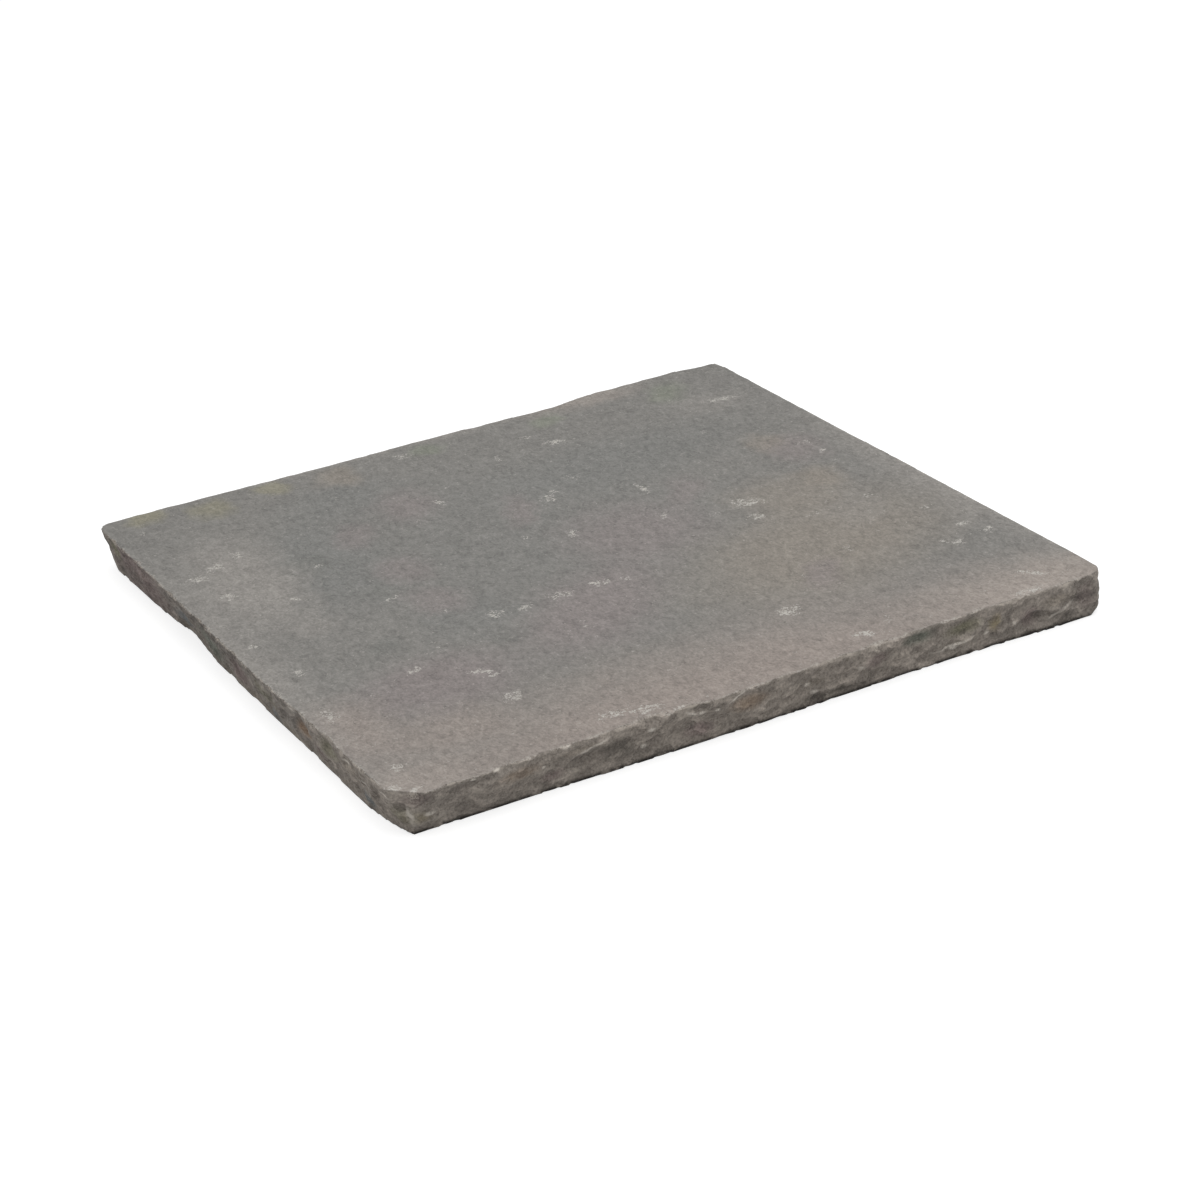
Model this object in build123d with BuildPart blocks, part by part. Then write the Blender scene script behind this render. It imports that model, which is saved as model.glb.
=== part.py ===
from build123d import *

import os
from math import sin

# Length of each side of the tread, corner to corner, and the thickness of the bed
front_length = 612.0
right_length = 600.0
back_length = 608.0
left_length = 618.0
thickness = 38.0

# How far each corner of the underside lies in from the tread's corner above it, along X and Y
near_left_undercut = (14.0, 13.0)
near_right_undercut = (-1.0, 3.0)
far_right_undercut = (8.0, 9.0)
far_left_undercut = (7.0, 8.0)

# How far the tread's arris wanders out (+) or in (-) of the straight line between two
# corners, at even steps along it, counterclockwise from the near left corner
front_arris = (2.0, 0.0, -1.5, 3.5, 2.5, 0.5, 1.0, -1.0, 0.5)
right_arris = (1.0, 0.8, 1.0, 1.2, 1.0, 0.6, 0.8, 1.0, 1.0)
back_arris = (5.5, 5.0, -4.5, -1.0, 0.0, -0.6, -1.5, -0.2, 0.8)
left_arris = (0.4, 0.2, 0.8, 1.3, 1.8, 2.4, 2.0, -0.3, 0.6)

# The same for the lower edge, at the underside
front_foot = (-0.9, -0.2, 0.7, 0.9, 0.2, -2.2, -3.2, -3.8, -1.8)
right_foot = (-1.0, -2.5, -1.0, 0.5, 1.0, -1.5, -2.0, 0.5, 1.5)
back_foot = (1.5, -1.5, 1.0, 2.0, 0.5, -1.0, 1.5, 0.5, 1.0)
left_foot = (-0.4, 0.2, -5.0, 1.6, 3.0, 3.8, 4.6, 5.9, 7.4)

# Chips that were knocked out of the near arris: how far each lies from the near left corner,
# how deep it bites, and how far its shell leans back, as a slope
arris_chips = ((88.0, 3.6), (116.0, 3.0), (208.0, 5.4), (352.0, 2.6), (405.0, 3.2))
chip_radius = 34.0
chip_lean = 0.3

# Corners as the chisel left them, at the tread and at the underside
near_left_chip = (22.0, 3.0)
near_right_radius = (16.0, 12.0)
far_right_radius = (5.0, 9.0)
far_left_radius = (14.0, 12.0)

# Each blow of the pitching chisel strikes a round, shallow shell off a face:
# the bites are those of the front, right, back and left faces
pitching_step = 33.0
pitching_radius = 84.0
pitching_drop = 18.0
pitching_bites = (2.3, 1.0, 1.2, 1.5)

# Smaller shells come off lower down
lower_step = 27.0
lower_radius = 58.0
lower_rise = 10.0
lower_bites = (1.2, 1.3, 1.4, 1.0)

# Three corners of the underside lost a larger shell
corner_radius = 55.0
near_right_bite = 8.0
far_right_bite = 7.0
far_left_bite = 6.0

# How unevenly the blows fall: the share by which a bite and a step vary, how far a blow
# strays up and down, and the turns that set one blow apart from the next
bite_spread = 0.6
step_spread = 0.25
height_spread = 5.0
bite_turn = 2.1
step_turn = 4.4
height_turn = 3.3


def wavy_line(start, end, waves):
    """Return the points from one corner up to the next, with the edge's waves between."""
    step = (end - start) / (len(waves) + 1)
    outward = step.cross(Vector(0, 0, 1)).normalized()
    return [start] + [start + step * (i + 1) + outward * wave for i, wave in enumerate(waves)]


def wavy_edge(start, end, waves):
    """Return the line of one edge from corner to corner."""
    with BuildLine() as edge:
        Polyline(*wavy_line(start, end, waves), end)
    return edge.wire()


def shell_centres(arris, foot, step, radius, drop, bite):
    """Return the centres of the round shells that a row of blows strikes off one face."""
    count = round(arris.length / step)
    centres = []
    for blow in range(count):
        along = (blow + 0.5 + step_spread * sin(step_turn * blow)) / count
        down = (foot @ along - arris @ along) / thickness
        struck = arris @ along + down * (drop + height_spread * sin(height_turn * blow))
        face_normal = down.cross(arris % along).normalized()
        depth = bite * (1 + bite_spread * sin(bite_turn * blow))
        centres.append(struck + face_normal * (radius - depth))
    return centres


def chip_centres(arris, chips):
    """Return the centres of the round chips that were knocked out of an arris."""
    centres = []
    for distance, bite in chips:
        along = distance / arris.length
        broken = (arris % along).cross(Vector(0, 0, 1)) + Vector(0, 0, chip_lean)
        centres.append(arris @ along + broken.normalized() * (chip_radius - bite))
    return centres


def corner_shell_centre(corner, bite):
    """Return the centre of the shell that came off a corner of the underside."""
    away = Vector(corner.X, corner.Y, 0).normalized() - Vector(0, 0, 1)
    return corner + away.normalized() * (corner_radius - bite)


# Corners of the tread, and those of the underside below them
near_left = Vector(-front_length / 2, -left_length / 2, thickness)
near_right = Vector(front_length / 2, -right_length / 2, thickness)
far_right = Vector(back_length / 2, right_length / 2, thickness)
far_left = Vector(-back_length / 2, left_length / 2, thickness)
near_left_foot = near_left + Vector(near_left_undercut[0], near_left_undercut[1], -thickness)
near_right_foot = near_right + Vector(-near_right_undercut[0], near_right_undercut[1], -thickness)
far_right_foot = far_right + Vector(-far_right_undercut[0], -far_right_undercut[1], -thickness)
far_left_foot = far_left + Vector(far_left_undercut[0], -far_left_undercut[1], -thickness)

# The four sides of each outline, from one corner to the next
tread_sides = (
    (near_left, near_right, front_arris),
    (near_right, far_right, right_arris),
    (far_right, far_left, back_arris),
    (far_left, near_left, left_arris),
)
foot_sides = (
    (near_left_foot, near_right_foot, front_foot),
    (near_right_foot, far_right_foot, right_foot),
    (far_right_foot, far_left_foot, back_foot),
    (far_left_foot, near_left_foot, left_foot),
)

# Where the blows fell on each face
pitched = []
lower = []
for tread_side, foot_side, bite, lower_bite in zip(tread_sides, foot_sides, pitching_bites, lower_bites):
    arris = wavy_edge(*tread_side)
    foot = wavy_edge(*foot_side)
    pitched += shell_centres(arris, foot, pitching_step, pitching_radius, pitching_drop, bite)
    lower += shell_centres(arris, foot, lower_step, lower_radius, thickness - lower_rise, lower_bite)
near_chips = chip_centres(wavy_edge(*tread_sides[0]), arris_chips)
corner_shells = (
    corner_shell_centre(near_right_foot, near_right_bite),
    corner_shell_centre(far_right_foot, far_right_bite),
    corner_shell_centre(far_left_foot, far_left_bite),
)

# How round each corner is after the near left one, counterclockwise
corner_radii = (near_right_radius, far_right_radius, far_left_radius)

# The paver: one slab of stone between its two outlines, with the shells struck off
with BuildPart() as bluestone_slab:
    for level, (height, sides) in enumerate(((thickness, tread_sides), (0, foot_sides))):
        with BuildSketch(Plane.XY.offset(height)) as outline:
            with BuildLine():
                Polyline(*[(point.X, point.Y) for side in sides for point in wavy_line(*side)], close=True)
            make_face()
            chip = outline.vertices().sort_by_distance((sides[0][0].X, sides[0][0].Y))[0]
            chamfer(chip, near_left_chip[level])
            for (corner, _, _), radius in zip(sides[1:], corner_radii):
                sharp = outline.vertices().sort_by_distance((corner.X, corner.Y))[0]
                fillet(sharp, radius[level])
    loft(ruled=True)
    with Locations(*pitched):
        Sphere(pitching_radius, mode=Mode.SUBTRACT)
    with Locations(*lower):
        Sphere(lower_radius, mode=Mode.SUBTRACT)
    with Locations(*near_chips):
        Sphere(chip_radius, mode=Mode.SUBTRACT)
    with Locations(*corner_shells):
        Sphere(corner_radius, mode=Mode.SUBTRACT)
bluestone_slab.part.label = "bluestone_slab"

os.makedirs("parts", exist_ok=True)
export_step(bluestone_slab.part, "parts/bluestone_slab.step")
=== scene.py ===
"""The looks of a square bluestone paver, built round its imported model.

The stone keeps the model's outline. Its four pitched edges get the spalls, chips and grit
that the chisel left, and its tread the mottled greys and bruises of a natural split.
"""

import logging
import math
import random
from collections.abc import Callable
from dataclasses import dataclass
from enum import Enum

import bpy
import numpy as np
from mathutils import Matrix, Vector


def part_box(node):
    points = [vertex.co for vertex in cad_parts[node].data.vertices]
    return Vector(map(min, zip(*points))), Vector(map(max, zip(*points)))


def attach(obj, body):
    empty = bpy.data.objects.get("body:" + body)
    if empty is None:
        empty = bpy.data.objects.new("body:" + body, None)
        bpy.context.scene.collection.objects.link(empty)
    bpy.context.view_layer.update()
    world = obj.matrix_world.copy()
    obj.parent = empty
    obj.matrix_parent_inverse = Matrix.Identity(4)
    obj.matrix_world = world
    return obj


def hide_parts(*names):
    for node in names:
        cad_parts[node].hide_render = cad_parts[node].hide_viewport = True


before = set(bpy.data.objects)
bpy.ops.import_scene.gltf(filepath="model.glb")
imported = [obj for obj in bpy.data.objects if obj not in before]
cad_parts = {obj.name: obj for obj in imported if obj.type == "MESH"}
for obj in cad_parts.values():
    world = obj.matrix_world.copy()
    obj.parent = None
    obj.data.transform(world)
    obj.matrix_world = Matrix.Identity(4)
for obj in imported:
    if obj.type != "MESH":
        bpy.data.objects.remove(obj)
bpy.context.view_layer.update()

MM = 0.001
NODE = "bluestone_slab"
LOW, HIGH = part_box(NODE)
TREAD_REACH = 14 * MM
FACE_REACH = 60 * MM
SEEN_RAYS = ("Is Camera Ray", "Is Glossy Ray", "Is Transmission Ray")
MEAN = 0.5
WHITE = 255
SRGB_TOE = 0.04045
SRGB_SLOPE = 12.92
SRGB_LIFT = 0.055
SRGB_POWER = 2.4
LOG = logging.getLogger("paver")


def linear(colour: tuple[float, float, float]) -> tuple[float, float, float, float]:
    """Turn a display colour into the linear one that a shader takes, by the sRGB curve.

    Args:
        colour: red, green and blue, each from 0 to 255.

    Returns:
        Linear red, green and blue, and an alpha of 1.
    """
    shares = [part / WHITE for part in colour]
    lit = [
        share / SRGB_SLOPE if share <= SRGB_TOE else ((share + SRGB_LIFT) / (1 + SRGB_LIFT)) ** SRGB_POWER
        for share in shares
    ]
    return (lit[0], lit[1], lit[2], 1.0)


class Tint(Enum):
    """The stone's colours in plain light, red, green and blue from 0 to 255."""

    GROUND = (128, 126, 122)
    SLATE = (122, 122, 119)
    DEEP = (116, 116, 112)
    PEARL = (146, 142, 137)
    MAUVE = (136, 128, 126)
    TAN = (143, 135, 125)
    CREAM = (165, 155, 147)
    BLUSH = (151, 141, 134)
    OLIVE = (138, 134, 116)
    MOSS = (129, 133, 119)
    EDGE = (146, 139, 132)
    EDGE_PALE = (162, 153, 144)
    EDGE_BROWN = (141, 124, 108)
    EDGE_PURPLE = (132, 118, 115)
    EDGE_SLATE = (118, 121, 122)
    EDGE_OLIVE = (128, 125, 106)
    EDGE_GREEN = (119, 125, 114)
    EDGE_DARK = (101, 96, 89)
    RUST = (158, 126, 96)
    OCHRE = (156, 143, 113)
    SAND = (163, 153, 140)
    # Painted contact shadow at the foot, with some grime in it
    DAMP = (46, 43, 40)
    BRUISE = (192, 188, 181)
    CHIP = (186, 177, 166)
    FRESH = (240, 232, 221)


def on_tread(x: float, y: float) -> Vector:
    """Return the point on the tread at x and y millimetres from its middle."""
    return Vector((x * MM, y * MM, HIGH.z))


def on_front(along: float, below: float) -> Vector:
    """Return the point on the front face, in millimetres from the left end and below the arris."""
    return Vector((LOW.x + along * MM, LOW.y, HIGH.z - below * MM))


def on_left(along: float, below: float) -> Vector:
    """Return the point on the left face, in millimetres from the far end and below the arris."""
    return Vector((LOW.x, HIGH.y - along * MM, HIGH.z - below * MM))


@dataclass(frozen=True)
class Patch:
    """A soft-edged patch of another tint, an ellipsoid that is seen where it cuts the surface.

    Its strength says how far it covers the ground, and its turn is in degrees about its axis.
    """

    centre: Vector
    half_size: tuple[float, float, float]
    tint: Tint
    strength: float
    turn: float = 0.0
    axis: str = "Z"


def tread_patch(
    x: float, y: float, long: float, wide: float, tint: Tint, strength: float, turn: float = 0.0
) -> Patch:
    """Describe a patch on the tread, from its middle and half size in millimetres, turned in degrees."""
    half = (long * MM, wide * MM, TREAD_REACH)
    return Patch(on_tread(x, y), half, tint, strength, turn)


def front_patch(
    along: float, below: float, long: float, high: float, tint: Tint, strength: float, turn: float = 0.0
) -> Patch:
    """Describe a patch on the front face, in millimetres from its left end and below the arris."""
    half = (long * MM, FACE_REACH, high * MM)
    return Patch(on_front(along, below), half, tint, strength, -turn, "Y")


def left_patch(
    along: float, below: float, long: float, high: float, tint: Tint, strength: float, turn: float = 0.0
) -> Patch:
    """Describe a patch on the left face, in millimetres from its far end and below the arris."""
    half = (FACE_REACH, long * MM, high * MM)
    return Patch(on_left(along, below), half, tint, strength, -turn, "X")


def laid(describe: Callable, *rows: tuple) -> tuple:
    """Return what a function describes, once for each row of its measures."""
    return tuple(describe(*row) for row in rows)


def mark(x: float, y: float, long: float, wide: float, strength: float, turn: float = 0.0) -> Patch:
    """Describe a bruised spot on the tread, placed and sized like a patch there."""
    return tread_patch(x, y, long, wide, Tint.BRUISE, strength, turn)


# The tread's clouds and stains, each laid over those before it
TREAD_PATCHES = laid(
    tread_patch,
    (-20, 60, 230, 230, Tint.SLATE, 0.35),
    (-175, 110, 62, 150, Tint.SLATE, 0.8, -8),
    (-110, 225, 80, 60, Tint.SLATE, 0.7),
    (120, 150, 190, 80, Tint.SLATE, 0.6),
    (-130, -60, 60, 60, Tint.SLATE, 0.5),
    (-190, 112, 24, 30, Tint.DEEP, 0.8),
    (-160, 18, 26, 24, Tint.DEEP, 0.6),
    (-205, -72, 26, 22, Tint.DEEP, 0.6),
    (-116, -118, 28, 24, Tint.DEEP, 0.7),
    (-245, 112, 62, 150, Tint.PEARL, 0.85, -6),
    (-285, 250, 36, 50, Tint.GROUND, 0.7),
    (-75, 175, 38, 52, Tint.MAUVE, 0.6, -20),
    (-135, 145, 24, 44, Tint.MAUVE, 0.55, -20),
    (0, 105, 20, 46, Tint.MAUVE, 0.55, -20),
    (-130, 52, 34, 40, Tint.MAUVE, 0.55),
    (-135, -18, 36, 42, Tint.MAUVE, 0.55),
    (55, 0, 90, 90, Tint.MAUVE, 0.65, 30),
    (-40, -110, 130, 75, Tint.MAUVE, 0.75, 40),
    (-200, -160, 100, 75, Tint.MAUVE, 0.8, 10),
    (130, 50, 26, 50, Tint.MAUVE, 0.5, -30),
    (252, 75, 40, 50, Tint.MAUVE, 0.6),
    (160, -120, 190, 120, Tint.TAN, 0.65, 20),
    (190, -10, 70, 60, Tint.TAN, 0.5),
    (235, 5, 34, 38, Tint.TAN, 0.6),
    (235, 102, 30, 34, Tint.TAN, 0.5),
    (130, -165, 22, 44, Tint.MAUVE, 0.6, -35),
    (222, -74, 34, 54, Tint.PEARL, 0.4, -35),
    (130, 225, 46, 28, Tint.GROUND, 0.7),
    (245, 215, 50, 34, Tint.PEARL, 0.4),
    (-262, 296, 24, 24, Tint.OLIVE, 0.8),
    (-208, 278, 28, 30, Tint.OLIVE, 0.7),
    (-150, 290, 20, 20, Tint.OLIVE, 0.7),
    (-95, 275, 30, 30, Tint.TAN, 0.6),
    (-5, 280, 26, 20, Tint.MOSS, 0.6),
    (110, 272, 22, 20, Tint.MOSS, 0.6),
    (232, 262, 26, 38, Tint.MOSS, 0.6, -20),
    (-20, -330, 460, 175, Tint.BLUSH, 0.9),
    (-300, -190, 70, 90, Tint.BLUSH, 0.8),
    (262, -300, 140, 90, Tint.CREAM, 0.65),
    (-290, -290, 70, 50, Tint.CREAM, 0.5),
    (322, -60, 56, 280, Tint.PEARL, 0.9),
    (20, 326, 350, 42, Tint.PEARL, 0.8),
    (-322, -20, 60, 320, Tint.PEARL, 0.75),
    (160, 300, 90, 30, Tint.CREAM, 0.45),
    (-225, -230, 70, 44, Tint.BLUSH, 0.6),
    (-236, 0, 36, 32, Tint.PEARL, 0.5),
)

# Tints of the near face: its ground, then the others from left to right
FRONT_PATCHES = laid(
    front_patch,
    (306, 19, 500, 80, Tint.EDGE_PALE, 1.0),
    (20, 7, 14, 9, Tint.EDGE_PURPLE, 0.8),
    (20, 24, 16, 7, Tint.OCHRE, 0.6),
    (100, 12, 26, 8, Tint.EDGE_BROWN, 0.6),
    (128, 25, 14, 7, Tint.EDGE_PURPLE, 0.7),
    (150, 9, 30, 5, Tint.SAND, 0.45),
    (182, 18, 22, 14, Tint.EDGE_DARK, 0.75),
    (247, 25, 18, 10, Tint.EDGE_PURPLE, 0.8),
    (290, 14, 24, 10, Tint.EDGE_BROWN, 0.8),
    (350, 18, 12, 5, Tint.SAND, 0.55),
    (362, 31, 52, 5, Tint.EDGE_DARK, 0.8),
    (402, 15, 12, 12, Tint.EDGE_PURPLE, 0.7),
    (441, 8, 18, 9, Tint.EDGE_GREEN, 0.8),
    (481, 12, 26, 9, Tint.EDGE_OLIVE, 0.9),
    (480, 24, 22, 5, Tint.SAND, 0.4),
    (513, 17, 8, 12, Tint.OCHRE, 0.7),
    (546, 22, 14, 12, Tint.EDGE_PURPLE, 0.8),
    (568, 14, 22, 8, Tint.SAND, 0.5),
    (596, 18, 14, 18, Tint.EDGE_PURPLE, 0.5),
)

# Tints of the left face, the broad ones first, then from the far end to the near one
LEFT_PATCHES = laid(
    left_patch,
    (309, 40, 420, 16, Tint.SAND, 0.6),
    (540, 19, 130, 60, Tint.EDGE_PALE, 0.9),
    (90, 19, 90, 60, Tint.EDGE_PURPLE, 0.8),
    (230, 19, 90, 60, Tint.EDGE_DARK, 0.45),
    (14, 12, 16, 14, Tint.EDGE_DARK, 0.7),
    (38, 10, 16, 14, Tint.EDGE_OLIVE, 0.8),
    (82, 22, 36, 16, Tint.EDGE_DARK, 0.4),
    (186, 20, 24, 10, Tint.EDGE_SLATE, 0.8),
    (254, 18, 38, 18, Tint.EDGE_GREEN, 0.6),
    (315, 18, 26, 16, Tint.EDGE_PURPLE, 0.9),
    (370, 14, 30, 14, Tint.EDGE_OLIVE, 0.5),
    (378, 31, 16, 7, Tint.EDGE_SLATE, 0.8),
    (441, 16, 16, 11, Tint.RUST, 0.55),
    (470, 24, 14, 12, Tint.EDGE_PURPLE, 0.6),
    (492, 12, 20, 12, Tint.EDGE_OLIVE, 0.7),
    (535, 10, 26, 10, Tint.SAND, 0.5),
    (552, 28, 12, 9, Tint.EDGE_SLATE, 0.9),
    (600, 22, 16, 12, Tint.EDGE_OLIVE, 0.5),
    # Painted shade just under the arris, along the whole face
    (309, 0, 420, 9, Tint.EDGE_DARK, 0.3),
)

# Spots where the tread was struck
BRUISES = laid(
    mark,
    (-28, 190, 4, 6, 0.9),
    (30, 110, 14, 11, 0.9, 40),
    (41, 121, 4, 6, 1.0),
    (11, 32, 8, 13, 0.9),
    (-24, 50, 4, 7, 0.9),
    (158, -4, 24, 13, 1.0, -30),
    (147, -36, 14, 10, 0.8, -30),
    (122, -8, 8, 7, 0.7),
    (88, 14, 12, 12, 0.5),
    (103, 80, 22, 5, 1.0, -82),
    (-110, -71, 10, 11, 1.0),
    (-87, -75, 13, 6, 0.9, 13),
    (-54, -71, 17, 10, 0.9, -16),
    (-17, -71, 13, 9, 1.0, -10),
    (2, -75, 10, 6, 0.9, -16),
    (-63, -133, 10, 14, 0.4),
    (-165, -158, 16, 9, 1.1, -35),
    (-158, -168, 14, 4, 1.2, 4),
    (-166, -209, 14, 14, 0.9, 20),
    (-206, -124, 12, 9, 0.8),
    (-174, -96, 3, 5, 0.9),
    (-139, -42, 5, 8, 0.8),
    (-162, 8, 14, 4, 0.9, 11),
    (-47, 162, 14, 8, 0.8, -60),
    (-80, 133, 4, 6, 0.8),
    (-28, 281, 14, 12, 0.6),
    (36, 218, 6, 12, 0.7),
    (95, 221, 22, 9, 1.0, -20),
    (67, 142, 8, 16, 0.5, 30),
    (78, 250, 10, 10, 0.5),
    (-232, 169, 7, 12, 1.0),
    (-256, 157, 14, 12, 0.9, 40),
    (-277, 144, 16, 12, 0.8),
    (-225, 57, 9, 4, 1.0, -68),
    (-184, 106, 8, 5, 0.9, 14),
    (-126, 209, 8, 8, 0.6),
    (-289, -5, 6, 10, 0.9),
    (-279, 265, 6, 8, 0.9),
    (262, 216, 26, 7, 1.0, -12),
    (207, 156, 4, 6, 0.9),
    (266, 52, 7, 7, 1.1),
    (262, 79, 10, 8, 0.7),
    (244, -55, 10, 7, 0.9),
    (187, -62, 12, 9, 0.6),
    (271, -155, 10, 7, 1.2),
    (245, -180, 18, 9, 0.8, -40),
    (280, -178, 9, 12, 0.8),
    (267, -107, 10, 8, 0.6),
    (74, -211, 14, 13, 1.1),
    (172, -139, 4, 10, 0.6),
    (118, -162, 4, 6, 0.8),
    (97, -281, 16, 8, 1.1, -30),
    (124, -270, 7, 8, 0.6),
    (259, -268, 22, 5, 1.0, -43),
    (238, -294, 22, 8, 1.0),
    (-300, -290, 9, 8, 1.2),
    (-288, -302, 12, 7, 1.2),
    (-282, -261, 12, 9, 0.9),
    (-119, -283, 20, 9, 1.0, -10),
    (-95, -290, 18, 10, 1.1, -10),
    (-76, -303, 9, 6, 1.1),
    (-270, 96, 12, 12, 0.7),
    (-277, -72, 8, 12, 0.8),
    (-289, -156, 8, 22, 0.8),
)

# Fresh pale chips on the near face and the left one
FACE_CHIPS = laid(
    front_patch,
    (30, 22, 7, 2.5, Tint.FRESH, 0.8),
    (62, 3, 3, 2, Tint.FRESH, 1.0),
    (81, 1.5, 4, 1.5, Tint.FRESH, 0.9),
    (120, 14, 3, 2, Tint.FRESH, 0.9),
    (138, 2, 5, 2, Tint.FRESH, 0.9),
    (159, 10, 20, 1.8, Tint.FRESH, 0.8, 19),
    (208, 11, 4.5, 3, Tint.FRESH, 1.1),
    (203, 25, 3.5, 3, Tint.FRESH, 1.1),
    (241, 8, 8, 1.8, Tint.FRESH, 0.9, -27),
    (250, 10, 4, 2, Tint.FRESH, 1.1),
    (262, 11, 3, 2, Tint.FRESH, 0.9),
    (278, 5, 12, 1.6, Tint.FRESH, 0.9, 25),
    (343, 18, 4, 2.4, Tint.FRESH, 0.8),
    (350, 27, 5, 2.4, Tint.FRESH, 0.8),
    (389, 17, 6, 2.4, Tint.FRESH, 0.7, -18),
    (474, 27, 5, 3, Tint.FRESH, 1.2),
    (476, 25, 28, 2.2, Tint.FRESH, 0.9, 5),
    (505, 24, 3.5, 2.4, Tint.FRESH, 1.2),
    (530, 22, 3, 2, Tint.FRESH, 0.9),
    (573, 24, 18, 2, Tint.FRESH, 0.7, 21),
) + laid(
    left_patch,
    (430, 3, 8, 2, Tint.FRESH, 0.7),
    (530, 6, 10, 2, Tint.FRESH, 0.7),
    (560, 12, 8, 2, Tint.FRESH, 0.6, -10),
    (590, 8, 12, 1.8, Tint.FRESH, 0.8),
    (606, 22, 3, 12, Tint.FRESH, 0.7),
)


class Wire:
    """A node's output, on which Python arithmetic adds the Math node that does it."""

    def __init__(self, recipe: "Recipe", socket: bpy.types.NodeSocket | None) -> None:
        """Wrap one output of the recipe's nodes."""
        self.recipe = recipe
        self.socket = socket

    def _math(self, operation: str, *values: "Wire | float") -> "Wire":
        """Return the result of a Math node on these values."""
        return self.recipe.add("ShaderNodeMath", {"operation": operation}, dict(enumerate(values)))

    def __add__(self, other: "Wire | float") -> "Wire":
        """Return the sum."""
        return self._math("ADD", self, other)

    __radd__ = __add__

    def __sub__(self, other: "Wire | float") -> "Wire":
        """Return the difference."""
        return self._math("SUBTRACT", self, other)

    def __rsub__(self, other: float) -> "Wire":
        """Return the difference from a number."""
        return self._math("SUBTRACT", other, self)

    def __mul__(self, other: "Wire | float") -> "Wire":
        """Return the product."""
        return self._math("MULTIPLY", self, other)

    __rmul__ = __mul__

    def most(self, other: "Wire | float") -> "Wire":
        """Return the larger of the two."""
        return self._math("MAXIMUM", self, other)


class Recipe:
    """The nodes of one material or of the world."""

    noise_roughness: float = 0.6

    def __init__(self, tree: bpy.types.NodeTree) -> None:
        """Start on an emptied node tree.

        Args:
            tree: the nodes of the material or of the world.
        """
        tree.nodes.clear()
        self.tree = tree
        self.turned: dict[tuple, Wire] = {}

    def add(
        self, kind: str, settings: dict | None = None, inputs: dict | None = None, output: int | str = 0
    ) -> Wire:
        """Add one node.

        Args:
            kind: the node's type.
            settings: its own settings, which are set before its sockets.
            inputs: a number, a colour or a Wire for each socket, by name or place.
            output: the output that is wanted.

        Returns:
            The output, as a Wire.
        """
        node = self.tree.nodes.new(kind)
        for name, value in (settings or {}).items():
            setattr(node, name, value)
        for key, value in (inputs or {}).items():
            if isinstance(value, Wire):
                self.tree.links.new(value.socket, node.inputs[key])
            else:
                node.inputs[key].default_value = value
        return Wire(self, node.outputs[output] if node.outputs else None)

    def noise(
        self, place: Wire, size: float, detail: float = 2.0, twist: float = 0.0, output: int = 0
    ) -> Wire:
        """Return a noise from 0 to 1.

        Args:
            place: where it is read.
            size: how wide its features are, in metres.
            detail: how many finer noises are laid over it.
            twist: how far its features are drawn out into curls.
            output: 0 for the value, 1 for a colour of three noises.

        Returns:
            The noise.
        """
        sockets = {
            "Vector": place,
            "Scale": 1 / size,
            "Detail": detail,
            "Roughness": self.noise_roughness,
            "Distortion": twist,
        }
        return self.add("ShaderNodeTexNoise", {"noise_dimensions": "3D"}, sockets, output)

    def step(self, value: Wire, start: float, end: float, top: float = 1.0) -> Wire:
        """Return a smooth step.

        Args:
            value: what decides how far up the step a point is.
            start: the value at its foot, where it is 0.
            end: the value at its head.
            top: how high it is there.

        Returns:
            A value from 0 to top.
        """
        sockets = {"Value": value, "From Min": start, "From Max": end, "To Min": 0.0, "To Max": top}
        settings = {"interpolation_type": "SMOOTHSTEP", "clamp": False}
        return self.add("ShaderNodeMapRange", settings, sockets)

    def blend(self, share: Wire | float, first: Wire | tuple, second: Wire | tuple) -> Wire:
        """Return the mix of two colours by a share from 0 to 1."""
        sockets = {0: share, 6: first, 7: second}
        return self.add("ShaderNodeMix", {"data_type": "RGBA", "clamp_factor": True}, sockets, 2)

    def vector(self, operation: str, *values: Wire | tuple, output: int | str = 0) -> Wire:
        """Return the result of a Vector Math node on these values."""
        return self.add("ShaderNodeVectorMath", {"operation": operation}, dict(enumerate(values)), output)

    def shade(self, colour: Wire, factor: Wire) -> Wire:
        """Return a colour made lighter or darker by a factor around 1."""
        sockets = {0: colour, 3: factor}
        return self.add("ShaderNodeVectorMath", {"operation": "SCALE"}, sockets)

    def inside(self, place: Wire, patch: Patch, hardness: float = 0.0) -> Wire:
        """Return a patch's strength at a place, which fades out towards its rim.

        Args:
            place: the place, in metres.
            patch: the patch.
            hardness: the share of its half size that is at full strength.

        Returns:
            A value from 0 to the patch's strength.
        """
        centre = Matrix.Rotation(math.radians(-patch.turn), 3, patch.axis) @ patch.centre
        scale = tuple(1 / half for half in patch.half_size)
        shift = tuple(-part * factor for part, factor in zip(centre, scale))
        local = self.vector("MULTIPLY_ADD", self._turned(place, patch.turn, patch.axis), scale, shift)
        return self.step(self.vector("LENGTH", local, output="Value"), 1.0, hardness, patch.strength)

    def _turned(self, place: Wire, turn: float, axis: str) -> Wire:
        """Turn a place back about an axis, once for all the patches with that turn.

        Args:
            place: the place.
            turn: how far the patches are turned, in degrees.
            axis: what they are turned about, X, Y or Z.

        Returns:
            The place in the patches' own directions.
        """
        if not turn:
            return place
        key = (place.socket.node.name, turn, axis)
        if key not in self.turned:
            sockets = {"Vector": place, "Angle": math.radians(-turn)}
            settings = {"rotation_type": f"{axis}_AXIS"}
            self.turned[key] = self.add("ShaderNodeVectorRotate", settings, sockets)
        return self.turned[key]


@dataclass(frozen=True)
class Grain:
    """One scale of the stone's unevenness: how wide it is, and how far it lightens and darkens."""

    size: float
    tread: float
    edge: float
    twist: float = 0.0


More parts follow.
